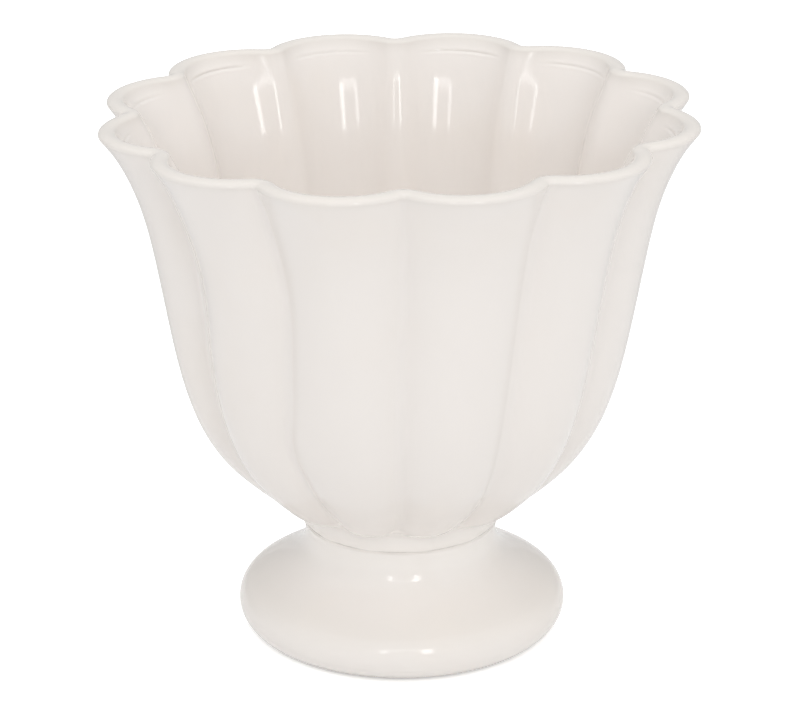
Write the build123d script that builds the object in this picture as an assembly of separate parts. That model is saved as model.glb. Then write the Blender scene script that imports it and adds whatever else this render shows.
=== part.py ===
from build123d import *
from math import atan2, cos, hypot, pi, sin, tan
import os

# A footed cachepot in glazed ceramic: a fluted bowl of twelve lobes, cast as one hollow piece,
# luted with slip to a round hollow foot. Sizes are in millimetres. Z is up, the origin lies on the
# table under the middle of the foot, and the front, -Y, is a groove between two lobes.

# Overall sizes
pot_height = 210.0          # table to the crest of the lip
foot_height = 43.0          # table to the top face of the foot's neck
rim_radius = 111.0          # axis to the crest of the lip, in the middle of a lobe
waist_radius = 37.8         # axis to the outside of the collar and the neck where they meet
foot_radius = 64.2          # axis to the widest point of the foot

# Bowl
lobe_count = 12
flute_depth = 10.3          # how far a groove lies inside the lobes beside it, at the lip
groove_round = 5.5          # largest radius of the bottom of a groove
bowl_wall = 6.0
lip_width = 6.8
lip_crown = 1.9             # how far the rounded top of the lip rises above its widest line
lip_lean = 37.0             # degrees that the wall leans out where it meets the lip
floor_radius = 30.0         # flat part of the inside floor, in the middle of a lobe
floor_thickness = 6.5
recess_depth = 2.5          # hollow in the underside, inside the ring that is luted to the foot
collar_height = 10.5        # base of the bowl to the top of the collar, in the grooves
collar_flare = 3.2          # how far the collar swells out above the waist

# Foot
seat_width = 9.0            # width of the ring faces that the slip joins
edge_radius = 9.6           # rounding of the foot's outer edge
foot_ring_width = 5.6       # flat ring that the pot stands on
neck_lean = 12.0            # degrees that the neck draws in below the joint
shoulder_angle = 57.0       # degrees above level where the edge rounding meets the flare
neck_pull = 14.4            # how far the neck keeps its direction before it flares
shoulder_pull = 13.0        # how far the shoulder keeps its direction before it rises
hollow_rise = 16.0          # how far the hollow stays upright above the foot ring
hollow_drop = 21.0          # how far the hollow stays upright below the neck

# Slip joint
slip_thickness = 0.8
slip_setback = 0.4          # the slip is wiped back from the surface, which leaves the seam line
seam_round = 0.5            # softened edge of the collar and the neck at the seam

# The bowl's outside in the middle of a lobe, from just inside the collar to under the lip: share
# of the bowl's height, share of the way from the waist out to the rim, share of the flute depth,
# share of the groove's rounding.
wall_shares = [
    (0.013, 0.010, 0.58, 0.45),
    (0.027, 0.045, 0.59, 0.45),
    (0.061, 0.162, 0.60, 0.45),
    (0.110, 0.279, 0.60, 0.50),
    (0.170, 0.399, 0.60, 0.60),
    (0.248, 0.511, 0.61, 0.78),
    (0.338, 0.588, 0.63, 0.90),
    (0.459, 0.655, 0.66, 1.00),
    (0.579, 0.704, 0.69, 1.00),
    (0.699, 0.751, 0.71, 1.00),
    (0.807, 0.804, 0.75, 0.90),
    (0.892, 0.872, 0.81, 0.73),
    (0.948, 0.938, 0.90, 0.55),
]
first_inner_station = 2     # the stations below this one lie inside the floor
lip_round_share = 0.45      # rounding of the groove at the lip's outermost line
floor_groove_shares = (0.28, 0.12)      # flute depth at the floor's curve and at its flat
floor_curve_share = 0.2     # height of the floor's curve in its rise to the first inner station

# The collar's side: share of its height, share of its flare.
collar_shares = [(0, 0), (0.35, 0.78), (0.72, 1.0), (1.0, 0.5)]

bowl_base = foot_height + slip_thickness
bowl_height = pot_height - bowl_base
rim_outer_radius = rim_radius + lip_width / 2
bore_radius = waist_radius - seat_width
floor_height = bowl_base + recess_depth + floor_thickness
half_lobe = pi / lobe_count

# The lip's oval starts and ends where its slope is that of the wall.
lip_start = atan2(2 * lip_crown * tan(lip_lean * pi / 180), lip_width) * 180 / pi


def lobed_ring(height, tip_radius, groove_depth, rounding):
    """A closed level ring of arcs: lobes that touch the tip radius, joined by rounded grooves."""
    tip_reach = tip_radius + rounding
    groove_reach = tip_radius - groove_depth + rounding
    lobe_centre = (tip_reach**2 - groove_reach**2) / (
        2 * (tip_reach - groove_reach * cos(half_lobe))
    )
    lobe_round = tip_radius - lobe_centre
    across = groove_reach * cos(half_lobe) - lobe_centre
    along = groove_reach * sin(half_lobe)
    join_angle = atan2(along, across)
    join_x = lobe_centre + lobe_round * cos(join_angle)
    join_y = lobe_round * sin(join_angle)
    join = Vector(join_x, join_y)
    next_join = Vector(join_x, -join_y).rotate(Axis.Z, 360 / lobe_count)
    bottom = Vector(tip_radius - groove_depth, 0).rotate(Axis.Z, 180 / lobe_count)
    arcs = []
    for lobe in range(lobe_count):
        turn = Pos(0, 0, height) * Rot(0, 0, 360 / lobe_count * (lobe + 0.5))
        arcs.append(turn * ThreePointArc((join_x, -join_y), (tip_radius, 0), join))
        arcs.append(turn * ThreePointArc(join, bottom, next_join))
    return Wire(arcs)


def lip_line(angle):
    """Height and radius on the lip, an oval: 0 degrees is its outermost line and 90 its crest."""
    turn = angle * pi / 180
    height = pot_height - lip_crown + lip_crown * sin(turn)
    return height, rim_radius + lip_width / 2 * cos(turn)


def lip_ring(angle):
    height, radius = lip_line(angle)
    rounding = lip_round_share * groove_round + rim_outer_radius - radius
    return lobed_ring(height, radius, flute_depth, rounding)


def outer_stations():
    """Height, radius, groove depth and rounding of the bowl's outside at each station."""
    reach = rim_outer_radius - waist_radius
    stations = []
    for height_share, reach_share, groove_share, round_share in wall_shares:
        height = bowl_base + height_share * bowl_height
        radius = waist_radius + reach_share * reach
        stations.append((height, radius, groove_share * flute_depth, round_share * groove_round))
    return stations


def inner_stations(stations):
    """The same for the inside: one wall away from each outer station, square to the slope there."""
    line = [(height, radius) for height, radius, groove, rounding in stations]
    line.append(lip_line(-lip_start))
    inner = []
    for i in range(first_inner_station, len(stations)):
        height, radius, groove, rounding = stations[i]
        rise = line[i + 1][0] - line[i - 1][0]
        run = line[i + 1][1] - line[i - 1][1]
        inset = bowl_wall * rise / hypot(run, rise)
        lift = bowl_wall * run / hypot(run, rise)
        inner.append((height + lift, radius - inset, groove, rounding + inset))
    return inner


def skin(rings):
    """The curved faces that run smoothly through a row of rings."""
    return Solid.make_loft(rings).faces().filter_by(GeomType.PLANE, reverse=True)


def make_collar():
    """A low round ring under the petal ends, swelling out from the waist, with the floor above it."""
    side = Spline(
        [
            (waist_radius + flare_share * collar_flare, 0, bowl_base + rise_share * collar_height)
            for rise_share, flare_share in collar_shares
        ]
    )
    root = (bore_radius, 0, bowl_base + recess_depth + floor_thickness / 2)
    under = (bore_radius, 0, bowl_base)
    outline = Wire(
        [side, Line(side @ 1, root), Line(root, under), Line(under, side @ 0)]
    )
    ring = revolve(Face(outline), Axis.Z)
    seam_edge = ring.edges().group_by(Axis.Z)[0].sort_by(SortBy.RADIUS)[-1]
    return fillet(seam_edge, seam_round)


def make_bowl():
    stations = outer_stations()
    outside = [lobed_ring(*station) for station in stations]
    outside.append(lip_ring(-lip_start))
    lip = [lip_ring(-lip_start + (90 + lip_start) * step / 3) for step in range(4)]
    lip += [lip_ring(90 + (90 - lip_start) * step / 2) for step in (1, 2)]

    # The flutes fade out inside, towards a flat round floor.
    inner = inner_stations(stations)
    first_height, first_radius, first_groove, rounding = inner[0]
    curve_height = floor_height + floor_curve_share * (first_height - floor_height)
    curve_radius = (floor_radius + first_radius) / 2
    curve_groove, flat_groove = [share * flute_depth for share in floor_groove_shares]
    inside = [
        lobed_ring(floor_height, floor_radius, flat_groove, rounding),
        lobed_ring(curve_height, curve_radius, curve_groove, rounding),
    ]
    inside += [lobed_ring(*station) for station in inner]
    inside.append(lip_ring(180 - lip_start))

    ends = [Face(outside[0]), Face(inside[0])]
    body = Solid(Shell(skin(outside) + skin(lip) + skin(inside) + ends))
    recess = Pos(0, 0, bowl_base) * Cylinder(
        bore_radius, recess_depth, align=(Align.CENTER, Align.CENTER, Align.MIN)
    )
    return body + make_collar() - recess


def make_foot():
    arc_centre = (foot_radius - edge_radius, 0, edge_radius)
    turn = shoulder_angle * pi / 180
    lean = neck_lean * pi / 180
    top = Vector(waist_radius, 0, foot_height)
    shoulder = Vector(arc_centre) + Vector(cos(turn), 0, sin(turn)) * edge_radius
    side = Bezier(
        top,
        top - Vector(sin(lean), 0, cos(lean)) * neck_pull,
        shoulder + Vector(-sin(turn), 0, cos(turn)) * shoulder_pull,
        shoulder,
    )
    ring_outer = foot_radius - edge_radius
    ring_inner = ring_outer - foot_ring_width
    edge = ThreePointArc(shoulder, (foot_radius, 0, edge_radius), (ring_outer, 0, 0))
    hollow = Bezier(
        (ring_inner, 0, 0),
        (ring_inner, 0, hollow_rise),
        (bore_radius, 0, foot_height - hollow_drop),
        (bore_radius, 0, foot_height),
    )
    outline = Wire(
        [side, edge, Line(edge @ 1, hollow @ 0), hollow, Line(hollow @ 1, side @ 0)]
    )
    foot = revolve(Face(outline), Axis.Z)
    seam_edge = foot.edges().group_by(Axis.Z)[-1].sort_by(SortBy.RADIUS)[-1]
    return fillet(seam_edge, seam_round)


def make_slip_joint():
    layer = Cylinder(
        waist_radius - slip_setback,
        slip_thickness,
        align=(Align.CENTER, Align.CENTER, Align.MIN),
    )
    bore = Cylinder(bore_radius, slip_thickness, align=(Align.CENTER, Align.CENTER, Align.MIN))
    return Pos(0, 0, foot_height) * (layer - bore)


os.makedirs("parts", exist_ok=True)
export_step(make_bowl(), "parts/bowl.step")
export_step(make_foot(), "parts/foot.step")
export_step(make_slip_joint(), "parts/slip_joint.step")
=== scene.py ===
"""The looks of a footed cachepot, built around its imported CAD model: bowl, foot, slip joint and studio."""

from math import atan2, pi, radians, tan

import bpy
import numpy as np
from bpy.props import FloatProperty, FloatVectorProperty, IntProperty, PointerProperty
from mathutils import Euler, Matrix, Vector


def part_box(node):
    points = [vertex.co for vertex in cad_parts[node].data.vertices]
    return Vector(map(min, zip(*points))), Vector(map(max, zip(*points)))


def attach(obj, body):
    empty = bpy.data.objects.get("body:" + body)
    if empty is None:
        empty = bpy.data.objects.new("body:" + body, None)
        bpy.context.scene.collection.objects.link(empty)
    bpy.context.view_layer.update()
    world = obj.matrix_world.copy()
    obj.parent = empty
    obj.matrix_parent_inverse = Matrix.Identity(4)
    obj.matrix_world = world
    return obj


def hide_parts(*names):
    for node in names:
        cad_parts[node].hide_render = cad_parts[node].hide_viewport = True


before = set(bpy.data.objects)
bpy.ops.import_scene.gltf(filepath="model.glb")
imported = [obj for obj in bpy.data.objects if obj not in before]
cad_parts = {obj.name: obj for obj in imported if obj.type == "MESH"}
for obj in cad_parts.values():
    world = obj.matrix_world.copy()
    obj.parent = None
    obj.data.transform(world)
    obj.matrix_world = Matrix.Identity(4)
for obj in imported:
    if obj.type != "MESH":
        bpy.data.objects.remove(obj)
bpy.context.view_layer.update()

bl_info = {
    "name": "Footed cachepot",
    "version": (1, 0, 0),
    "blender": (4, 5, 0),
    "location": "View3D > Sidebar > Cachepot",
    "description": "Builds a fluted, glazed cachepot on its foot, with a plain studio around it",
    "category": "Add Mesh",
}

MM = 0.001

# The bowl's outside in the middle of a lobe: share of the bowl's height, share of the way from the
# waist out to the rim, share of the flute depth, share of the groove's rounding.
WALL = np.array(
    [
        (0.047, 0.009, 0.58, 0.45),
        (0.052, 0.061, 0.59, 0.45),
        (0.070, 0.157, 0.60, 0.45),
        (0.114, 0.275, 0.60, 0.50),
        (0.170, 0.394, 0.60, 0.60),
        (0.248, 0.507, 0.61, 0.78),
        (0.338, 0.588, 0.63, 0.90),
        (0.459, 0.655, 0.66, 1.00),
        (0.579, 0.704, 0.69, 1.00),
        (0.699, 0.751, 0.71, 1.00),
        (0.807, 0.804, 0.75, 0.90),
        (0.892, 0.872, 0.81, 0.73),
        (0.948, 0.938, 0.90, 0.55),
    ]
)
WALL_TUCK = 1.2 * MM  # how far the wall's line, hidden by the collar, draws in down to the base
FIRST_INNER_STATION = 2  # the stations below this one lie inside the floor
FLOOR_GROOVE_SHARES = (0.28, 0.12)  # flute depth at the floor's curve and at its flat
FLOOR_CURVE_SHARE = 0.2  # height of the floor's curve in its rise to the first inner station
FLOOR_RINGS = np.linspace(0.88, 0.08, 9)  # radii of the rings on the floor's flat, as shares of it
LIP_ROUND_SHARE = 0.45  # rounding of the groove at the lip's outermost line

# The collar under the petal ends: share of its height, share of its flare.
COLLAR = np.array([(0, 0), (0.2, 0.24), (0.48, 0.43), (0.68, 0.55), (1.0, 1.0)])
COLLAR_FALL = 2  # above its top the collar's line runs inwards this many times faster than it rises

# The trimming crease's section down the wall: distance from its middle, width, depth as a share.
# The cut has a low ridge on each side.
CREASE = [(0, 0.4 * MM, 1), (-0.9 * MM, 0.5 * MM, -0.5), (0.9 * MM, 0.5 * MM, -0.25)]
CREASE_REACH = 0.6  # where it ends, as a share of the way from a lobe's middle to the groove

# How the pot was pulled out of true while it was soft, in millimetres and degrees.
# The rings' turn: height, turn.
TWIST = np.array([(43.8, 0.4), (60, 0.6), (90, -0.1), (150, 0.4), (210, 0.8)])
# Pushes that turn a part of the wall: bearing from the front, height, how far the push spreads
# round and up, turn.
PUSHES = [(-50, 158, 26, 24, 3.0), (-28, 98, 14, 15, -2.2), (0, 42, 55, 16, -4.6)]
# The rings' shift along X: height, shift.
SWAY = np.array([(43.8, 0.0), (50, 0.0), (60, 0.15), (75, -0.1), (95, 0.0), (210, -0.05)])

# Slow waves round the axis: size, times round, start in radians.
OVAL_RIM = [(0.0016, 2, -0.9), (0.0012, 3, 2.1)]  # size as a share of the radius
UNEVEN_CREASE = [(0.3, 5, 0.7)]  # size as a share of the crease's depth
UNEVEN_FLARE = [(0.12 * MM, 2, 0.4), (0.075 * MM, 3, -1.3), (0.0375 * MM, 7, 0.7)]
WIPED_SEAM = [(0.05 * MM, 5, 0.0), (0.04 * MM, 9, 1.0), (0.03 * MM, 14, 2.0)]
BASE_SHIFT_POWER = 1.5  # the foot's shift grows with this power of the way down

# Small edges, which only a close look shows.
POLE_RING = 2 * MM  # radius of the first ring round the middle of the underside
RECESS_ROUND = 1 * MM
BORE_BEVEL = 0.3 * MM
FLAT_MARGIN = 1.2 * MM  # flats stop this far from the rounded edges beside them

# How finely the surfaces are divided: steps in each span of the bowl's outside, from the base up,
# of its inside, from the lip down, and of the collar; points over the lip; steps in a lobe, in a
# groove and round the foot and the slip; and distances along the foot's section.
OUTSIDE_STEPS = [14, 7, 14, 9, 7, 6, 6, 7, 7, 7, 6, 6, 5, 5]
INSIDE_STEPS = [10, 44, 4, 5, 6, 6, 6, 5, 5, 4, 5, 5, 6]
COLLAR_STEPS = [8, 12, 8, 12]
LIP_POINTS = 21
LOBE_STEPS = 18
GROOVE_STEPS = 10
ROUND_STEPS = 256
FLARE_SPACING = 0.9 * MM
EDGE_SPACING = 0.6 * MM
HOLLOW_SPACING = 1.6 * MM

# Where the glaze is painted paler, as pooled glaze and as painted light that offsets the shade in grooves
# and hollows, and where it is painted darker, as thin glaze and, on the lip, as painted shade: width of the
# bell curve, size.
GROOVE_POOL_AND_PAINTED_LIGHT = (0.25, 0.05)  # width as a share of the way from a lobe's middle to the groove
PETAL_POOL_AND_PAINTED_LIGHT = (2.2 * MM, 0.8)
PETAL_POOL_AND_PAINTED_LIGHT_FADE = 1.2 * MM  # how far the collar may stand out beyond the petals before it fades
BASE_POOL_AND_PAINTED_LIGHT = (9 * MM, 1.4)
LIP_THIN_AND_SHADE = (3 * MM, 1)
NECK_POOL_AND_PAINTED_LIGHT = (14 * MM, 1.4)
NECK_DEPTH = 6 * MM  # how far inside the neck's radius the foot's outside may lie
# On the foot's edge and shoulder, with the height of the bell's middle first.
EDGE_POOL_AND_PAINTED_LIGHT = (2 * MM, 6 * MM, 0.8)
SHOULDER_THIN = (18 * MM, 6 * MM, 0.75)


# Settings


def length(name, description, default):
    return FloatProperty(
        name=name, description=description, default=default, unit="LENGTH", subtype="DISTANCE"
    )


def degrees(name, description, default):
    return FloatProperty(
        name=name, description=description, default=radians(default), subtype="ANGLE"
    )


def factor(name, description, default):
    return FloatProperty(name=name, description=description, default=default, subtype="FACTOR")


def watts(name, description, default):
    return FloatProperty(name=name, description=description, default=default, unit="POWER")


def plain(name, description, default):
    return FloatProperty(name=name, description=description, default=default)


def colour(name, description, default):
    return FloatVectorProperty(
        name=name, description=description, default=default, size=3, subtype="COLOR", min=0, max=1
    )


class BowlSizes(bpy.types.PropertyGroup):
    """The bowl, with its collar and its lip"""

    height: length("Pot height", "Table to the crest of the lip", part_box("bowl")[1].z)
    base: length("Base", "Table to the underside of the bowl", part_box("bowl")[0].z)
    rim_radius: length("Rim radius", "Axis to the crest of the lip, in the middle of a lobe", 111 * MM)
    waist_radius: length("Waist radius", "Axis to the collar where it meets the foot", 37.8 * MM)
    bore_radius: length("Bore radius", "Axis to the inside of the ring that is luted", 28.8 * MM)
    lobes: IntProperty(name="Lobes", description="Flutes round the bowl", default=12, min=3)
    flute_depth: length("Flute depth", "How far a groove lies inside its lobes at the lip", 10.3 * MM)
    groove_round: length("Groove rounding", "Largest radius of the bottom of a groove", 5.5 * MM)
    wall: length("Wall", "Thickness of the wall, glaze included", 6 * MM)
    lip_width: length("Lip width", "Thickness of the rounded lip", 6.8 * MM)
    lip_crown: length("Lip crown", "Rise of the lip's top above its widest line", 1.9 * MM)
    lip_lean: degrees("Lip lean", "Lean of the wall under the lip", 37)
    floor_radius: length("Floor radius", "Flat part of the inside floor", 30 * MM)
    floor_height: length("Floor height", "Table to the inside floor", 52.8 * MM)
    recess_depth: length("Recess depth", "Hollow in the underside, over the foot", 2.5 * MM)
    collar_height: length("Collar height", "Base of the bowl to the top of the collar", 12 * MM)
    collar_flare: length("Collar flare", "How far the collar swells beyond the waist", 6.2 * MM)
    petal_blend: length("Petal blend", "Width over which petals and collar flow together", 3.4 * MM)
    seam_round: length("Seam rounding", "Softened edge at the seam", 0.25 * MM)
    crease_drop: length("Crease drop", "Crest of the lip to the trimming crease inside", 5.7 * MM)
    crease_depth: length("Crease depth", "Depth of the trimming crease", 0.35 * MM)
    rim_tilt: degrees("Rim tilt", "Slope of the rim, low on the left", 0.22)


class FootSizes(bpy.types.PropertyGroup):
    """The foot and the hollow in it"""

    height: length("Foot height", "Table to the top of the neck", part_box("foot")[1].z)
    radius: length("Foot radius", "Axis to the widest point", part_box("foot")[1].x)
    neck_radius: length("Neck radius", "Axis to the neck at the seam", 37.8 * MM)
    bore_radius: length("Bore radius", "Axis to the hollow at the seam", 28.8 * MM)
    edge_radius: length("Edge rounding", "Rounding of the outer edge", 9.6 * MM)
    ring_width: length("Ring width", "Flat ring that the pot stands on", 5.6 * MM)
    neck_lean: degrees("Neck lean", "Draw of the neck below the seam", 12)
    shoulder_angle: degrees("Shoulder angle", "Slope where the edge meets the flare", 57)
    neck_pull: length("Neck pull", "How far the neck keeps its direction", 14.4 * MM)
    shoulder_pull: length("Shoulder pull", "How far the shoulder keeps its direction", 13 * MM)
    hollow_rise: length("Hollow rise", "How far the hollow stays upright above the ring", 16 * MM)
    hollow_drop: length("Hollow drop", "How far the hollow stays upright below the neck", 21 * MM)
    seam_round: length("Seam rounding", "Softened edge at the seam", 0.25 * MM)
    ring_round: length("Ring rounding", "Wiped edges of the standing ring", 0.6 * MM)
    bare_height: length("Bare height", "Table to the edge of the glaze on the ring", 0.5 * MM)
    offset: length("Offset", "Shift of the base to the right of the neck", 0.56 * MM)


class SlipSizes(bpy.types.PropertyGroup):
    """The layer of slip between the bowl and the foot"""

    outer_radius: length("Outer radius", "Axis to the wiped seam", 37.98 * MM)
    inner_radius: length("Inner radius", "Axis to the bore", 28.8 * MM)
    top: length("Top", "Table to the top of the slip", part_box("slip_joint")[1].z)
    bottom: length("Bottom", "Table to the underside of the slip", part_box("slip_joint")[0].z)
    hollow: length("Hollow", "How far the wiped side curves in", 0.08 * MM)


class GlazeLook(bpy.types.PropertyGroup):
    """Colours and finish of the glaze, the clay and the slip"""

    cream: colour("Cream", "Glaze of even thickness", (0.855, 0.812, 0.776))
    # Pooled is paler glaze where it lies thick, and painted light that offsets the shade in grooves, hollows
    # and the seam.
    pooled_and_painted_light: colour("Pooled", "Thick, opaque glaze in grooves and seams", (0.965, 0.926, 0.885))
    # Thin is darker glaze where it thins over edges, and on the lip also painted shade against the light
    # from overhead; the slip's darker patches use it too.
    thin: colour("Thin", "Thin glaze over edges", (0.775, 0.735, 0.692))
    clay: colour("Clay", "Bare fired clay of the standing ring", (0.66, 0.585, 0.49))
    speck: colour("Speck", "Iron specks under the glaze", (0.16, 0.10, 0.06))
    gloss: factor("Gloss roughness", "Roughness of the glaze", 0.085)
    dull: factor("Clay roughness", "Roughness of the bare clay", 0.75)
    ior: plain("Refraction", "Index of refraction of the glaze", 1.5)
    speck_chance: factor("Speck chance", "Share of the cells that hold a speck", 0.015)
    ripple: length("Ripple", "Height of the glaze's ripple", 0.35 * MM)


class StageLook(bpy.types.PropertyGroup):
    """Light and camera"""

    sky: plain("Sky", "Strength of the surroundings everywhere", 0.17)
    over: plain("Overhead", "Strength added overhead", 1.02)
    side: plain("Sides", "Strength added at the sides", 0.57)
    key: plain("High front", "Strength added above the camera", 0.76)
    flag: factor("Flags", "How dark the grey flags behind are", 0.42)
    right: watts("Right lamp", "Power of the soft box front right", 2.0)
    left: watts("Left lamp", "Power of the soft box front left", 0.9)
    top: watts("Top lamp", "Power of the strip over the two boxes", 0.8)
    distance: length("Camera distance", "Camera to the axis, along the floor", 1.1378)
    eye_height: length("Camera height", "Floor to the camera", 0.5423)
    pitch: degrees("Pitch", "How far the camera looks down", 20.78)
    roll: degrees("Roll", "Turn of the camera on its axis", -0.174)
    lens: plain("Lens", "Focal length in millimetres on a 36 mm sensor", 141.65)


class CachepotSettings(bpy.types.PropertyGroup):
    """All that a user would change"""

    bowl: PointerProperty(name="Bowl", type=BowlSizes)
    foot: PointerProperty(name="Foot", type=FootSizes)
    slip: PointerProperty(name="Slip joint", type=SlipSizes)
    glaze: PointerProperty(name="Glaze", type=GlazeLook)
    stage: PointerProperty(name="Stage", type=StageLook)


# Curves and surfaces


def spline(knots, values, at):
    """Natural cubic spline: each span is a cubic whose slope and bend match its neighbours', with no
    bend at the ends."""
    gaps = np.diff(knots)
    slopes = np.diff(values, axis=0) / gaps[:, None]
    rows = np.arange(1, len(knots) - 1)
    system = np.eye(len(knots))
    system[rows, rows - 1] = gaps[:-1]
    system[rows, rows] = 2 * (gaps[:-1] + gaps[1:])
    system[rows, rows + 1] = gaps[1:]
    target = np.zeros_like(values, float)
    target[1:-1] = 6 * np.diff(slopes, axis=0)
    bend = np.linalg.solve(system, target)
    span = np.clip(np.searchsorted(knots, at) - 1, 0, len(gaps) - 1)
    gap = gaps[span][:, None]
    after = (knots[span + 1] - at)[:, None]
    before = (at - knots[span])[:, None]
    cubic = (bend[span] * after**3 + bend[span + 1] * before**3) / (6 * gap)
    from_start = (values[span] / gap - bend[span] * gap / 6) * after
    from_end = (values[span + 1] / gap - bend[span + 1] * gap / 6) * before
    return cubic + from_start + from_end


def run_of(points):
    """Distance along a row of points, up to each of them."""
    return np.concatenate([[0], np.cumsum(np.linalg.norm(np.diff(points, axis=0), axis=1))])


def along(points, steps):
    """A spline through a row of points, its knots the chord lengths, read at even steps of each span."""
    knots = run_of(points[:, :2])
    spans = zip(knots, knots[1:], steps)
    at = [np.linspace(start, end, count, endpoint=False) for start, end, count in spans]
    return spline(knots, points, np.concatenate([*at, knots[-1:]]))


def at_height(table, z):
    """The second column of a table, read by a spline at a height in metres, where the table's first
    column has it in millimetres."""
    return spline(table[:, 0], table[:, 1:], z.ravel() / MM)[:, 0].reshape(z.shape)


def lobed(tip, depth, rounding, lobes):
    """Level rings of arcs. A lobe is a circle that touches the tip radius, and a groove is a circle of
    the rounding's radius that touches both lobes and the radius that lies one depth inside the tip.
    Gives each point's angle, its radius, and its place from a lobe's middle, 0, to the groove, 1."""
    half = pi / lobes
    tip_reach = tip + rounding
    groove_reach = tip - depth + rounding
    groove_x = groove_reach * np.cos(half)
    groove_y = groove_reach * np.sin(half)
    centre = (tip_reach**2 - groove_reach**2) / (2 * (tip_reach - groove_x))
    radius = tip - centre
    join = np.arctan2(groove_y, groove_x - centre)
    sweep = np.arccos(np.clip((groove_reach - centre * np.cos(half)) / (radius + rounding), -1, 1))
    lobe_turn = join * np.linspace(-1, 1, LOBE_STEPS, endpoint=False)
    groove_turn = half + pi - sweep * np.linspace(-1, 1, GROOVE_STEPS, endpoint=False)
    lobe_x = centre + radius * np.cos(lobe_turn)
    lobe_y = radius * np.sin(lobe_turn)
    x = np.concatenate([lobe_x, groove_x + rounding * np.cos(groove_turn)], axis=1)
    y = np.concatenate([lobe_y, groove_y + rounding * np.sin(groove_turn)], axis=1)
    turn = np.arctan2(y, x)
    starts = (np.arange(lobes) + 0.5) * 2 * half
    angle = (turn[:, None, :] + starts[None, :, None]).reshape(len(tip), -1)
    across = np.abs((turn + half) % (2 * half) - half) / half
    return angle, np.tile(np.hypot(x, y), lobes), np.tile(across, lobes)


def larger(a, b, blend):
    """The larger of two radii, with a parabola where they differ by less than the blend."""
    near = np.clip(1 - np.abs(a - b) / blend, 0, 1)
    return np.maximum(a, b) + near**2 * blend / 4


def bump_at(x, middle, width, size=1):
    """A bell curve: its size times e to the minus square of the distance from its middle, in widths."""
    return size * np.exp(-(((x - middle) / width) ** 2))


def waves(angle, terms):
    """A sum of cosines: each has its size, how many times it goes round, and where it starts."""
    return sum(size * np.cos(times * angle + start) for size, times, start in terms)


def inward_waves(angle, terms):
    """The same sum, lowered by all the sizes, so that it is never above zero."""
    return waves(angle, terms) - sum(size for size, times, start in terms)


def arc(centre, radius, start, end, count):
    """Points on a circle in the profile plane, from one angle to another."""
    turn = np.linspace(start, end, count)
    return np.stack([centre[0] + radius * np.cos(turn), centre[1] + radius * np.sin(turn)], 1)


def bezier(points, count):
    """A cubic curve: each control point weighs in by the binomial share of its place."""
    t = np.linspace(0, 1, count)[:, None]
    a, b, c, d = (np.array(p) for p in points)
    return a * (1 - t) ** 3 + 3 * b * t * (1 - t) ** 2 + 3 * c * t**2 * (1 - t) + d * t**3


def line(start, end, count):
    """Points at even steps from one end to the other."""
    return np.linspace(start, end, count)


def even_out(profile, spacing):
    """The same profile with its points at even steps, so that no quad is far longer than the rest."""
    run = run_of(profile)
    at = np.linspace(0, run[-1], max(2, int(round(run[-1] / spacing)) + 1))
    return np.stack([np.interp(at, run, profile[:, 0]), np.interp(at, run, profile[:, 1])], 1)


def round_the_axis(radius, turn, height):
    """Points by the cosine and the sine of their turn times their radius, and their height."""
    radius, turn, height = np.broadcast_arrays(radius, turn, height)
    return np.stack([radius * np.cos(turn), radius * np.sin(turn), height], -1)


def whole_turn():
    """Even steps once round the axis, for the round pieces."""
    return np.linspace(0, 2 * pi, ROUND_STEPS, endpoint=False)


def skin(name, grid, poles=None, values=None):
    """A closed mesh over rows of points that go round the axis, with quads between neighbouring rows.
    It ends in a fan to each of two poles, or where there are none its last row joins the first."""
    rows, around = grid.shape[:2]
    count = rows * around
    number = np.arange(count).reshape(rows, around)
    following = np.roll(number, -1, axis=1)
    above = np.roll(number, -1, axis=0)
    above_following = np.roll(following, -1, axis=0)
    quads = np.stack([number, following, above_following, above], -1)
    if poles is None:
        poles = np.zeros((0, 3))
        fans = np.zeros((0, 3), int)
    else:
        quads = quads[:-1]
        first = np.stack([following[0], number[0], np.full(around, count)], 1)
        last = np.stack([number[-1], following[-1], np.full(around, count + 1)], 1)
        fans = np.concatenate([first, last])
    quads = quads.reshape(-1, 4)
    points = np.concatenate([grid.reshape(-1, 3), poles])
    sizes = np.concatenate([np.full(len(quads), 4), np.full(len(fans), 3)])
    corners = np.concatenate([quads.ravel(), fans.ravel()])
    mesh = bpy.data.meshes.new(name)
    mesh.vertices.add(len(points))
    mesh.vertices.foreach_set("co", points.astype(np.float32).ravel())
    mesh.loops.add(len(corners))
    mesh.loops.foreach_set("vertex_index", corners.astype(np.int32))
    mesh.polygons.add(len(sizes))
    mesh.polygons.foreach_set("loop_start", (np.cumsum(sizes) - sizes).astype(np.int32))
    mesh.polygons.foreach_set("use_smooth", np.ones(len(sizes), bool))
    mesh.update(calc_edges=True)
    for key, value in (values or {}).items():
        padded = np.pad(value.ravel(), (0, len(poles))).astype(np.float32)
        mesh.attributes.new(key, "FLOAT", "POINT").data.foreach_set("value", padded)
    if mesh.validate():
        raise RuntimeError(f"{name}: the mesh had faults")
    piece = bpy.data.objects.new(name, mesh)
    bpy.context.scene.collection.objects.link(piece)
    return piece


def dress(piece, material, node):
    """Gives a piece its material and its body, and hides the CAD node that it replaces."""
    piece.data.materials.append(material)
    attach(piece, "root")
    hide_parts(node)


# Shader expressions


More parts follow.
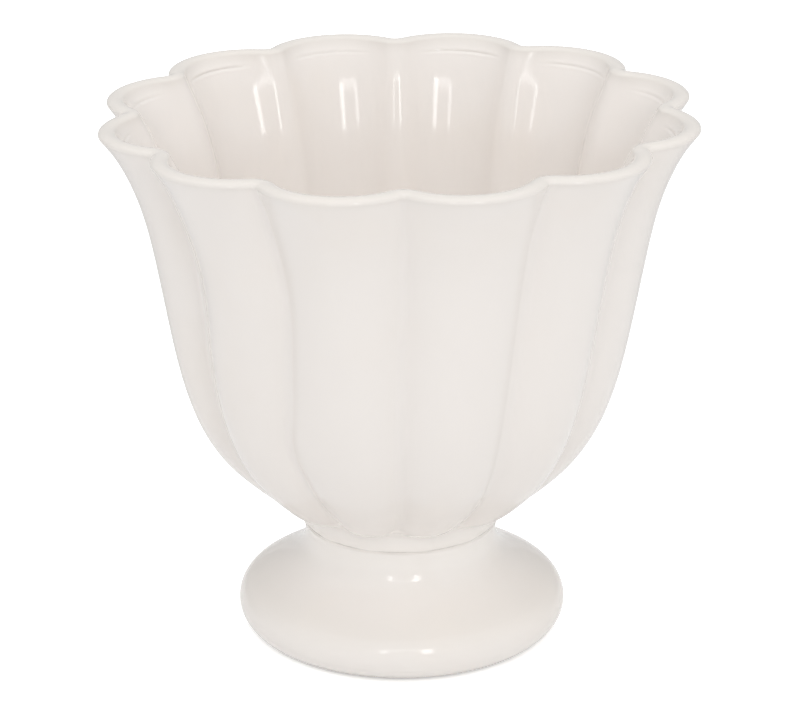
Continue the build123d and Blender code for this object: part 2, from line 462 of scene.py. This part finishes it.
class Signal:
    """A shader socket in a Python expression: each operator adds a Math node and gives its output."""

    def __init__(self, socket):
        self.socket = socket

    def beside(self, output):
        """Another output of the same node."""
        return Signal(self.socket.node.outputs[output])

    def _math(self, operation, *terms):
        tree = self.socket.id_data
        return node(tree, "ShaderNodeMath", {"operation": operation}, dict(enumerate(terms)))

    def __add__(self, other):
        return self._math("ADD", self, other)

    def __sub__(self, other):
        return self._math("SUBTRACT", self, other)

    def __rsub__(self, other):
        return self._math("SUBTRACT", other, self)

    def __mul__(self, other):
        return self._math("MULTIPLY", self, other)

    def __gt__(self, other):
        return self._math("GREATER_THAN", self, other)

    __radd__ = __add__
    __rmul__ = __mul__


def node(tree, kind, settings=None, sockets=None, output=0):
    """Adds a node: its settings first, then the values or links of its sockets, and gives one output."""
    made = tree.nodes.new(kind)
    for key, value in (settings or {}).items():
        setattr(made, key, value)
    for key, value in (sockets or {}).items():
        if isinstance(value, Signal):
            tree.links.new(value.socket, made.inputs[key])
        else:
            made.inputs[key].default_value = value
    return Signal(made.outputs[output]) if made.outputs else None


def rgba(shade):
    return shade if isinstance(shade, Signal) else (*shade, 1)


def grey(value):
    return (value, value, value)


def mixed(tree, share, first, second):
    """A colour that goes from the first to the second as the share goes from 0 to 1."""
    # The Mix node has its colour sockets after those for numbers and vectors.
    sockets = {"Factor": share, 6: rgba(first), 7: rgba(second)}
    settings = {"data_type": "RGBA", "clamp_factor": True}
    return node(tree, "ShaderNodeMix", settings, sockets, output=2)


def ramp(tree, value, low, high):
    """0 below the low value, 1 above the high one, and smooth between."""
    sockets = {"Value": value, "From Min": low, "From Max": high}
    return node(tree, "ShaderNodeMapRange", {"interpolation_type": "SMOOTHSTEP"}, sockets)


def noise(tree, place, scale, detail):
    """A cloudy pattern from 0 to 1, with its scale in waves per metre."""
    sockets = {"Vector": place, "Scale": scale, "Detail": detail}
    return node(tree, "ShaderNodeTexNoise", sockets=sockets)


def parts_of(tree, vector):
    """The three parts of a direction or a place."""
    x = node(tree, "ShaderNodeSeparateXYZ", sockets={"Vector": vector}, output="X")
    return x, x.beside("Y"), x.beside("Z")


# Glaze and slip

# Patterns: scale in waves or cells per metre, levels of detail.
CLOUDS = (22, 3)
RUNS = (60, 2)
SWELLS = (38, 1)
PEEL = (420, 1)
WAVER = (90, 2)
GRIT = (1500, 3)
GRAIN = (700, 3)
PATCHES = (45, 2)
SPECK_CELLS = 95
RUN_STRETCH = (1, 1, 0.35)  # runs are longer down the wall

# How the patterns colour the glaze. Pairs are the values where an effect starts and is full, or
# what is always there and what the pattern adds.
# Painted light: the pooled colour, paler glaze that also offsets the shade in hollows.
POOL_AND_PAINTED_LIGHT_STRENGTH = (0.45, 0.7)
WARM_CLOUDS = (0.45, 0.75)
WARM_SHARE = 0.35
WARM_TINT = (0.985, 0.965, 0.935)  # what the warm clouds take from the cream
SPECK_RADII = (0.012, 0.035)  # a speck's full middle and its faded edge, as shares of a cell
SPECK_STRENGTH = (0.15, 0.6)
BARE_FADE = 0.25 * MM  # height over which the glaze comes in above the bare clay
BARE_WAVER = 0.6 * MM  # how far the edge of the glaze wanders up and down
GRIT_SHARE = 0.5
GRIT_TINT = 0.86  # what the grit takes from the clay
SLIP_PATCHES = (0.35, 0.65)
PATCH_SHARE = 0.5
GRAIN_SHARE = 0.15

# How they roughen it: what they add to the roughness and to the height of the relief.
CLOUD_ROUGHNESS = 0.03
SPECK_ROUGHNESS = 0.2
SLIP_ROUGHNESS = (0.25, 0.2)
PEEL_HEIGHT = 0.06
SPECK_DIP = 0.05
GRIT_HEIGHT = 0.3
RELIEF_STRENGTH = 0.35
GRAIN_STRENGTH = 0.3
GRAIN_HEIGHT = 0.1 * MM


def new_material(name):
    material = bpy.data.materials.new(name)
    material.use_nodes = True
    material.node_tree.nodes.clear()
    return material, material.node_tree


def finish_material(tree, sockets):
    """Ends a material in one Principled surface with these sockets."""
    surface = node(tree, "ShaderNodeBsdfPrincipled", sockets=sockets)
    node(tree, "ShaderNodeOutputMaterial", sockets={"Surface": surface})


def iron_specks(tree, place, chance):
    """Round spots in a few cells of a cell pattern: one part of a cell's random colour chooses it, and
    another sets how strong its speck is."""
    cells = {"Vector": place, "Scale": SPECK_CELLS}
    away = node(tree, "ShaderNodeTexVoronoi", sockets=cells, output="Distance")
    dice = {"Color": away.beside("Color")}
    first = node(tree, "ShaderNodeSeparateColor", sockets=dice, output="Red")
    least, more = SPECK_STRENGTH
    strength = first.beside("Green") * more + least
    return (1 - ramp(tree, away, *SPECK_RADII)) * (first > 1 - chance) * strength


def glaze(name, look, bare_below=None):
    """Cream glaze over earthenware: paler where it pools and where painted light offsets the shade in
    hollows, darker where it thins and where painted shade dims the lip, with a faint ripple, a few iron
    specks, and bare clay below a height where one is given."""
    material, tree = new_material(name)
    place = node(tree, "ShaderNodeTexCoord", output="Object")
    stretch = {"Vector": place, "Scale": RUN_STRETCH}
    stretched = node(tree, "ShaderNodeMapping", sockets=stretch)
    pool = node(tree, "ShaderNodeAttribute", {"attribute_name": "pool"}, output="Fac")
    thin = node(tree, "ShaderNodeAttribute", {"attribute_name": "thin"}, output="Fac")
    clouds = noise(tree, place, *CLOUDS)
    specks = iron_specks(tree, place, look.speck_chance)

    least, more = POOL_AND_PAINTED_LIGHT_STRENGTH
    warm = tuple(part * tint for part, tint in zip(look.cream, WARM_TINT))
    # Painted light and shade: the paler pooled colour offsets the shade in hollows, and the darker thin
    # colour shades the lip.
    shade = mixed(tree, pool * (clouds * more + least), look.cream, look.pooled_and_painted_light)
    shade = mixed(tree, thin, shade, look.thin)
    shade = mixed(tree, ramp(tree, clouds, *WARM_CLOUDS) * WARM_SHARE, shade, warm)
    shade = mixed(tree, specks, shade, look.speck)

    ripple = (noise(tree, place, *SWELLS) + noise(tree, stretched, *RUNS)) * 0.5
    height = ripple + noise(tree, place, *PEEL) * PEEL_HEIGHT - specks * SPECK_DIP
    rough = look.gloss + clouds * CLOUD_ROUGHNESS + specks * SPECK_ROUGHNESS
    if bare_below is not None:
        level = parts_of(tree, place)[2] - noise(tree, place, *WAVER) * BARE_WAVER
        bare = 1 - ramp(tree, level, bare_below, bare_below + BARE_FADE)
        grit = noise(tree, place, *GRIT)
        dark = tuple(part * GRIT_TINT for part in look.clay)
        shade = mixed(tree, bare, shade, mixed(tree, grit * GRIT_SHARE, look.clay, dark))
        rough = rough + bare * (look.dull - look.gloss)
        height = height + bare * grit * GRIT_HEIGHT
    relief = {"Strength": RELIEF_STRENGTH, "Distance": look.ripple, "Height": height}
    normal = node(tree, "ShaderNodeBump", sockets=relief)
    finish_material(tree, {"Base Color": shade, "Roughness": rough, "IOR": look.ior, "Normal": normal})
    return material


def slip_material(look):
    """Fired slip at the seam: matt, warm and slightly grainy, with thick glaze over it painted pale, as
    painted light against the seam's shade.
    """
    material, tree = new_material("seam_slip")
    place = node(tree, "ShaderNodeTexCoord", output="Object")
    grain = noise(tree, place, *GRAIN)
    patches = noise(tree, place, *PATCHES)
    patched = ramp(tree, patches, *SLIP_PATCHES) * PATCH_SHARE
    # Painted light: the pooled colour is paler to offset the shade in the seam; the darker patches are the
    # slip's own.
    shade = mixed(tree, patched, look.pooled_and_painted_light, look.thin)
    shade = mixed(tree, grain * GRAIN_SHARE, shade, look.clay)
    least, more = SLIP_ROUGHNESS
    rough = patches * more + least
    relief = {"Strength": GRAIN_STRENGTH, "Distance": GRAIN_HEIGHT, "Height": grain}
    normal = node(tree, "ShaderNodeBump", sockets=relief)
    finish_material(tree, {"Base Color": shade, "Roughness": rough, "Normal": normal})
    return material


# The bowl


def wall_line(s):
    """Radius, height, groove depth and rounding of the outside in the middle of a lobe, waist to lip."""
    rise = s.height - s.base
    reach = s.rim_radius + s.lip_width / 2 - s.waist_radius
    radius = s.waist_radius + WALL[:, 1] * reach
    height = s.base + WALL[:, 0] * rise
    return np.stack([radius, height, WALL[:, 2] * s.flute_depth, WALL[:, 3] * s.groove_round], 1)


def lip_line(s, turn):
    """The lip's oval: radius by the cosine and height by the sine of the turn, 0 at its outermost line."""
    radius = s.rim_radius + s.lip_width / 2 * np.cos(turn)
    height = s.height - s.lip_crown + s.lip_crown * np.sin(turn)
    inset = s.rim_radius + s.lip_width / 2 - radius
    rounding = LIP_ROUND_SHARE * s.groove_round + inset
    return np.stack([radius, height, np.full_like(radius, s.flute_depth), rounding], 1)


def inner_line(s, outside):
    """The inside: each outer point moved one wall inwards, square to the slope between its neighbours,
    then down to the floor, where the flutes fade."""
    before, here, after = outside[:-2], outside[1:-1], outside[2:]
    slope = (after - before)[:, :2]
    slope = slope / np.linalg.norm(slope, axis=1)[:, None]
    inset = s.wall * slope[:, 1]
    lift = s.wall * slope[:, 0]
    rows = np.stack([here[:, 0] - inset, here[:, 1] + lift, here[:, 2], here[:, 3] + inset], 1)
    rows = rows[FIRST_INNER_STATION - 1 :]
    first_radius, first_height, first_groove, rounding = rows[0]
    curve_radius = (s.floor_radius + first_radius) / 2
    curve_height = s.floor_height + FLOOR_CURVE_SHARE * (first_height - s.floor_height)
    curve_groove, flat_groove = (share * s.flute_depth for share in FLOOR_GROOVE_SHARES)
    curve = [curve_radius, curve_height, curve_groove, rounding]
    flat = [s.floor_radius, s.floor_height, flat_groove, rounding]
    return np.concatenate([rows[::-1], [curve], [flat]])


def bowl_rows(s):
    """Radius, height, groove depth and rounding of each row of the wall: the outside from the base up,
    the lip over its crest, and the inside down to the flat of the floor."""
    lip_start = atan2(2 * s.lip_crown * tan(s.lip_lean), s.lip_width)
    lip = lip_line(s, np.linspace(-lip_start, pi - lip_start, LIP_POINTS))
    outside = np.concatenate([wall_line(s), lip[:1]])
    inside = np.concatenate([lip[-1:], inner_line(s, outside)])
    tuck = [outside[0, 0] - WALL_TUCK, s.base + s.seam_round, *outside[0, 2:]]
    outside = np.concatenate([[tuck], outside])
    return along(outside, OUTSIDE_STEPS)[:-1], lip, along(inside, INSIDE_STEPS)[1:]


def collar_reach(s, height):
    """The collar's radius at each height, by a spline, and above its top a cone that falls inwards."""
    radius = s.waist_radius + COLLAR[:, 1] * s.collar_flare
    level = s.base + COLLAR[:, 0] * s.collar_height
    side = along(np.stack([radius, level], 1), COLLAR_STEPS)
    above = np.clip(height - side[-1, 1], 0, None)
    return np.interp(height, side[:, 1], side[:, 0]) - COLLAR_FALL * above


def crease(s, height, angle, across):
    """Depth of the trimming crease inside, under the lip: bell curves down the wall, faded towards the
    grooves by a fourth power, and uneven round the pot by a wave."""
    drop = s.height - height
    section = sum(
        bump_at(drop, s.crease_drop + shift, width, size) for shift, width, size in CREASE
    )
    middle = np.clip(1 - (across / CREASE_REACH) ** 4, 0, 1)
    return s.crease_depth * section * middle * (1 + inward_waves(angle, UNEVEN_CREASE))


def underside(s):
    """The underside's section: top and rounded corner of the recess, its side, the ring that is luted,
    and the softened edge at the seam."""
    recess_top = s.base + s.recess_depth
    corner = s.bore_radius - RECESS_ROUND
    seam_middle = (s.waist_radius - s.seam_round, s.base + s.seam_round)
    ring_start = (s.bore_radius + BORE_BEVEL, s.base)
    side_start = (s.bore_radius, recess_top - RECESS_ROUND)
    return np.concatenate(
        [
            line((POLE_RING, recess_top), (corner, recess_top), 8),
            arc((corner, recess_top - RECESS_ROUND), RECESS_ROUND, pi / 2, 0, 6)[1:],
            line(side_start, (s.bore_radius, s.base + BORE_BEVEL), 4)[1:],
            line(ring_start, (s.waist_radius - FLAT_MARGIN, s.base), 6),
            arc(seam_middle, s.seam_round, -pi / 2, 0, 5)[:-1],
        ]
    )


def pulled_out_of_true(s, grid):
    """What the hand and the kiln did: rings turn and shift with height, a few pushes turn the wall by
    a bell curve round and up, the rim dips to the left by the tilt times the distance from its right
    edge, and the round goes oval by two slow waves."""
    x, y, z = np.moveaxis(grid, -1, 0)
    angle = np.arctan2(y, x)
    bearing = (np.degrees(angle) + 270) % 360 - 180
    turn = np.radians(at_height(TWIST, z))
    for where, rise, spread, tall, push in PUSHES:
        turn = turn + radians(push) * bump_at(bearing, where, spread) * bump_at(z / MM, rise, tall)
    share = np.clip((z - s.base) / (s.height - s.base), 0, 1)
    grow = 1 + inward_waves(angle, OVAL_RIM) * share
    shift = at_height(SWAY, z) * MM
    across = x * np.cos(turn) - y * np.sin(turn)
    deep = x * np.sin(turn) + y * np.cos(turn)
    dip = (s.rim_radius - x) * tan(s.rim_tilt) * share**2
    return np.stack([across * grow + shift, deep * grow, z - dip], -1)


def bowl_surface(s):
    """The bowl's whole skin as rows round the axis, from the middle of its underside out to the waist,
    up the flutes, over the lip, down inside and in to the middle of the floor."""
    outside, lip, inside = bowl_rows(s)
    tip, height, depth, rounding = np.split(np.concatenate([outside, lip, inside]), 4, axis=1)
    angle, reach, across = lobed(tip, depth, rounding, s.lobes)
    height = np.broadcast_to(height, reach.shape)
    outer = slice(0, len(outside))
    inner = slice(len(outside) + len(lip), None)

    petals = reach[outer].copy()
    collar = collar_reach(s, height[outer])
    reach[outer] = larger(petals, collar, s.petal_blend)
    reach[inner] += crease(s, height[inner], angle[inner], across[inner])

    # Painted light: the glaze is paler where it pools in the grooves, where the petals meet the collar and
    # at the base, and this paler colour offsets the shade that falls there. It is darker on the lip, as thin
    # glaze and as painted shade against the light from overhead.
    pool = bump_at(across, 1, *GROOVE_POOL_AND_PAINTED_LIGHT)
    petal_pool_and_painted_light = bump_at(petals, collar, *PETAL_POOL_AND_PAINTED_LIGHT) * bump_at(petals, reach[outer], PETAL_POOL_AND_PAINTED_LIGHT_FADE)
    base_pool_and_painted_light = bump_at(height[outer], s.base, *BASE_POOL_AND_PAINTED_LIGHT)
    pool[outer] = np.maximum(pool[outer], np.maximum(petal_pool_and_painted_light, base_pool_and_painted_light))
    thin = bump_at(height, s.height, *LIP_THIN_AND_SHADE)

    # The underside and the floor are rings that keep the directions of the row beside them.
    wall = round_the_axis(reach, angle, height)
    under = underside(s)
    under_rings = round_the_axis(under[:, :1], angle[0], under[:, 1:])
    floor_scale = np.stack([FLOOR_RINGS, FLOOR_RINGS, np.ones_like(FLOOR_RINGS)], -1)
    floor_rings = wall[-1] * floor_scale[:, None]
    grid = np.concatenate([under_rings, wall, floor_rings])
    unglazed = ((len(under_rings), len(floor_rings)), (0, 0))
    values = {"pool": np.pad(pool, unglazed), "thin": np.pad(thin, unglazed)}
    poles = np.array([(0, 0, under[0, 1]), (0, 0, s.floor_height)])
    return pulled_out_of_true(s, grid), pulled_out_of_true(s, poles), values


class CACHEPOT_OT_bowl(bpy.types.Operator):
    """Build the fluted bowl with its lip, petals and collar"""

    bl_idname = "cachepot.bowl"
    bl_label = "Bowl"

    def execute(self, context):
        settings = context.scene.cachepot
        grid, poles, values = bowl_surface(settings.bowl)
        bowl = skin("fluted_bowl", grid, poles, values)
        dress(bowl, glaze("bowl_glaze", settings.glaze), "bowl")
        return {"FINISHED"}


# The foot


def foot_profile(s):
    """The foot's section as one closed line: top face, neck and flare, outer edge, standing ring, hollow."""
    ring_outer = s.radius - s.edge_radius
    ring_inner = ring_outer - s.ring_width
    edge_middle = (ring_outer, s.edge_radius)
    seam_middle = (s.neck_radius - s.seam_round, s.height - s.seam_round)
    wiped_middle = (ring_inner + s.ring_round, s.ring_round)
    along_neck = np.array([np.sin(s.neck_lean), np.cos(s.neck_lean)])
    out = np.array([np.cos(s.shoulder_angle), np.sin(s.shoulder_angle)])
    along_shoulder = np.array([-out[1], out[0]])
    top = np.array([s.neck_radius, s.height - s.seam_round])
    shoulder = np.array(edge_middle) + s.edge_radius * out
    neck_point = top - s.neck_pull * along_neck
    shoulder_point = shoulder + s.shoulder_pull * along_shoulder
    flare = bezier([top, neck_point, shoulder_point, shoulder], 90)
    edge = arc(edge_middle, s.edge_radius, s.shoulder_angle, -pi / 2, 40)
    hollow = bezier(
        [
            (ring_inner, s.ring_round),
            (ring_inner, s.hollow_rise),
            (s.bore_radius, s.height - s.hollow_drop),
            (s.bore_radius, s.height - BORE_BEVEL),
        ],
        60,
    )
    return np.concatenate(
        [
            line((s.bore_radius + BORE_BEVEL, s.height), (s.neck_radius - FLAT_MARGIN, s.height), 6),
            arc(seam_middle, s.seam_round, pi / 2, 0, 6),
            even_out(flare, FLARE_SPACING)[1:],
            even_out(edge, EDGE_SPACING)[1:],
            line((ring_outer - FLAT_MARGIN, 0), (ring_inner + FLAT_MARGIN, 0), 5),
            arc(wiped_middle, s.ring_round, -pi / 2, -pi, 6),
            even_out(hollow, HOLLOW_SPACING)[1:],
        ]
    )


def foot_surface(s):
    """The foot's section carried round the axis. Its base is shifted to the right by a power of the way
    down, and its flare is uneven by three slow waves, most of all half way down."""
    turn = whole_turn()
    radius, height = np.split(foot_profile(s), 2, axis=1)
    down = np.clip(1 - height / s.height, 0, 1)
    radius = radius + waves(turn, UNEVEN_FLARE) * 4 * down * (1 - down)
    grid = round_the_axis(radius, turn, height)
    grid[..., 0] += s.offset * down**BASE_SHIFT_POWER
    # Painted light: the neck under the bowl and the foot of the edge are painted paler, as pooled glaze and
    # as light that offsets the shade there. The shoulder is darker, as thin glaze.
    pool = bump_at(height, s.height, *NECK_POOL_AND_PAINTED_LIGHT) * (radius > s.neck_radius - NECK_DEPTH)
    pool = pool + bump_at(height, *EDGE_POOL_AND_PAINTED_LIGHT) * (radius > s.radius - s.edge_radius)
    thin = bump_at(height, *SHOULDER_THIN) * (radius > s.neck_radius)
    return grid, {"pool": pool, "thin": thin}


class CACHEPOT_OT_foot(bpy.types.Operator):
    """Build the round hollow foot"""

    bl_idname = "cachepot.foot"
    bl_label = "Foot"

    def execute(self, context):
        settings = context.scene.cachepot
        grid, values = foot_surface(settings.foot)
        foot = skin("pedestal_foot", grid, values=values)
        material = glaze("foot_glaze", settings.glaze, settings.foot.bare_height)
        dress(foot, material, "foot")
        return {"FINISHED"}


# The slip joint


def slip_surface(s):
    """A flat ring whose outer side is a shallow hollow by half a sine, wiped unevenly by three waves."""
    turn = whole_turn()
    side = line(1, 0, 7)[:, None]
    wiped = s.outer_radius - s.hollow * np.sin(pi * side) + inward_waves(turn, WIPED_SEAM)
    outer = round_the_axis(wiped, turn, s.bottom + (s.top - s.bottom) * side)
    inner = round_the_axis(s.inner_radius, turn, line(s.bottom, s.top, 3)[:, None])
    return np.concatenate([outer, inner])


class CACHEPOT_OT_slip(bpy.types.Operator):
    """Build the ring of slip that joins the bowl to the foot"""

    bl_idname = "cachepot.slip"
    bl_label = "Slip joint"

    def execute(self, context):
        settings = context.scene.cachepot
        slip = skin("slip_seam", slip_surface(settings.slip))
        dress(slip, slip_material(settings.glaze), "slip_joint")
        return {"FINISHED"}


# The stage

# Where the surroundings are bright or dark, by a part of the direction: where each starts and where
# it is full.
OVERHEAD = (0.4, 0.85)  # the upward part
SIDES = (0.25, 0.9)  # the square of the sideways part
HIGH_FRONT = (0.64, 0.77)  # the forward and upward parts of the way to the brightest place in front
AROUND_HIGH_FRONT = (0.7, 1)  # the cosine of the angle from that way
FLAGS_END = (-0.75, 0.05)  # the forward part, from full flags to none

# The floor, in metres. Its own light near the pot is weak, so that the shadow shows.
FLOOR_HALF = 3
FLOOR_WHITE = 0.88
FLOOR_GLOW = (0.15, 0.6)  # light of its own near the pot and far from it
FLOOR_GLOW_AWAY = (0.2, 1)  # distances from the axis of the two
CAMERA_GLOW = 0.35  # how far that light goes to full white for the camera
FLOOR_FLAG = 1.4  # the grey on the floor behind the pot, beside the flags of the surroundings
FLOOR_FLAG_SHADE = 0.4
FLOOR_FLAG_BEHIND = (0, 0.3)  # distances behind the axis where it starts and where it is full

# Soft boxes: name, the setting with its power, size across and up, place.
SOFT_BOXES = [
    ("soft_box_right", "right", (0.2, 0.54), (0.44, -1.36, 0.74)),
    ("soft_box_left", "left", (0.14, 0.5), (-0.3, -1.4, 0.74)),
    ("soft_box_top", "top", (0.8, 0.1), (0.1, -1.4, 1.04)),
]
SOFT_BOX_AIM = (0, 0, 0.12)

# The camera: width of its sensor in millimetres, and nearest distance that it sees, in metres.
SENSOR = 36
NEAREST = 0.01


def seen_rays(tree):
    """1 where the camera, a reflection or glass looks, and 0 where light falls; and 1 for the camera
    alone."""
    camera = node(tree, "ShaderNodeLightPath", output="Is Camera Ray")
    seen = camera
    for other in ("Is Glossy Ray", "Is Transmission Ray"):
        sockets = {0: seen, 1: camera.beside(other)}
        seen = node(tree, "ShaderNodeMath", {"operation": "MAXIMUM"}, sockets)
    return seen, camera


def surroundings(s):
    """White surroundings like a light tent: brightest high in front, overhead and at the sides, and dim
    behind. Reflections show white too, with grey flags behind the pot that line its edges."""
    world = bpy.data.worlds.new("studio")
    world.use_nodes = True
    tree = world.node_tree
    tree.nodes.clear()
    across, back, up = parts_of(tree, node(tree, "ShaderNodeTexCoord", output="Generated"))
    ahead = back * -1
    seen, camera = seen_rays(tree)
    flags = 1 - ramp(tree, ahead, *FLAGS_END)
    white = 1 - flags * (1 - camera) * s.flag
    over = ramp(tree, up, *OVERHEAD)
    key = ramp(tree, ahead * HIGH_FRONT[0] + up * HIGH_FRONT[1], *AROUND_HIGH_FRONT)
    side = ramp(tree, across * across, *SIDES)
    light = over * s.over + key * s.key + side * s.side + s.sky
    strength = white * seen + light * (1 - seen)
    sky = node(tree, "ShaderNodeBackground", sockets={"Color": rgba(grey(1)), "Strength": strength})
    node(tree, "ShaderNodeOutputWorld", sockets={"Surface": sky})
    return world


def floor_material(s):
    """A white floor that holds the pot's shadow. It glows for the camera and for reflections, more so
    far from the pot, and behind the pot its reflections show grey, like the flags around it."""
    material, tree = new_material("white_floor")
    place = node(tree, "ShaderNodeTexCoord", output="Object")
    away = node(tree, "ShaderNodeVectorMath", {"operation": "LENGTH"}, {0: place}, output="Value")
    seen, camera = seen_rays(tree)
    near, far = (grey(glow) for glow in FLOOR_GLOW)
    glow = mixed(tree, ramp(tree, away, *FLOOR_GLOW_AWAY), near, far)
    glow = mixed(tree, camera * CAMERA_GLOW, glow, grey(1))
    matt = node(tree, "ShaderNodeBsdfDiffuse", sockets={"Color": rgba(grey(FLOOR_WHITE))})
    lift = node(tree, "ShaderNodeEmission", sockets={"Color": glow, "Strength": seen})
    white = node(tree, "ShaderNodeAddShader", sockets={0: matt, 1: lift})
    flag = node(tree, "ShaderNodeEmission", sockets={"Color": rgba(grey(FLOOR_FLAG_SHADE))})
    behind = ramp(tree, parts_of(tree, place)[1], *FLOOR_FLAG_BEHIND)
    share = behind * (seen - camera) * (s.flag * FLOOR_FLAG)
    surface = node(tree, "ShaderNodeMixShader", sockets={0: share, 1: white, 2: flag})
    node(tree, "ShaderNodeOutputMaterial", sockets={"Surface": surface})
    return material


def lay_floor(s):
    """A square floor at the table's height."""
    mesh = bpy.data.meshes.new("floor")
    corners = [(-1, -1), (1, -1), (1, 1), (-1, 1)]
    places = [(x * FLOOR_HALF, y * FLOOR_HALF, 0) for x, y in corners]
    mesh.from_pydata(places, [], [(0, 1, 2, 3)])
    mesh.materials.append(floor_material(s))
    floor = bpy.data.objects.new("floor", mesh)
    bpy.context.scene.collection.objects.link(floor)


def set_lamp(name, power, size, place):
    """A rectangular soft box that looks at the pot."""
    light = bpy.data.lights.new(name, "AREA")
    light.shape = "RECTANGLE"
    light.size, light.size_y = size
    light.energy = power
    source = bpy.data.objects.new(name, light)
    source.location = place
    way = Vector(SOFT_BOX_AIM) - Vector(place)
    source.rotation_euler = way.to_track_quat("-Z", "Y").to_euler()
    bpy.context.scene.collection.objects.link(source)


def set_camera(s):
    """The photo's camera, in front of the pot and above it."""
    camera = bpy.data.cameras.new("camera")
    camera.sensor_width = SENSOR
    camera.lens = s.lens
    camera.clip_start = NEAREST
    viewer = bpy.data.objects.new("camera", camera)
    viewer.location = (0, -s.distance, s.eye_height)
    turn = Euler((pi / 2 - s.pitch, 0, 0)).to_matrix() @ Euler((0, 0, s.roll)).to_matrix()
    viewer.rotation_euler = turn.to_euler()
    bpy.context.scene.collection.objects.link(viewer)
    bpy.context.scene.camera = viewer


class CACHEPOT_OT_stage(bpy.types.Operator):
    """Set up the floor, the soft light and the camera"""

    bl_idname = "cachepot.stage"
    bl_label = "Stage"

    def execute(self, context):
        s = context.scene.cachepot.stage
        context.scene.view_settings.view_transform = "Standard"
        context.scene.world = surroundings(s)
        lay_floor(s)
        for name, power, size, place in SOFT_BOXES:
            set_lamp(name, getattr(s, power), size, place)
        set_camera(s)
        return {"FINISHED"}


class CACHEPOT_PT_build(bpy.types.Panel):
    """The steps that build the cachepot, in order"""

    bl_idname = "CACHEPOT_PT_build"
    bl_label = "Footed cachepot"
    bl_space_type = "VIEW_3D"
    bl_region_type = "UI"
    bl_category = "Cachepot"

    def draw(self, context):
        for step in STEPS:
            self.layout.operator(step.bl_idname)


STEPS = (CACHEPOT_OT_bowl, CACHEPOT_OT_foot, CACHEPOT_OT_slip, CACHEPOT_OT_stage)
GROUPS = (BowlSizes, FootSizes, SlipSizes, GlazeLook, StageLook, CachepotSettings)


def register():
    for each in (*GROUPS, *STEPS, CACHEPOT_PT_build):
        bpy.utils.register_class(each)
    bpy.types.Scene.cachepot = PointerProperty(type=CachepotSettings)


def unregister():
    del bpy.types.Scene.cachepot
    for each in reversed((*GROUPS, *STEPS, CACHEPOT_PT_build)):
        bpy.utils.unregister_class(each)


def main():
    register()
    bpy.ops.cachepot.bowl()
    bpy.ops.cachepot.foot()
    bpy.ops.cachepot.slip()
    bpy.ops.cachepot.stage()


if __name__ == "__main__":
    main()
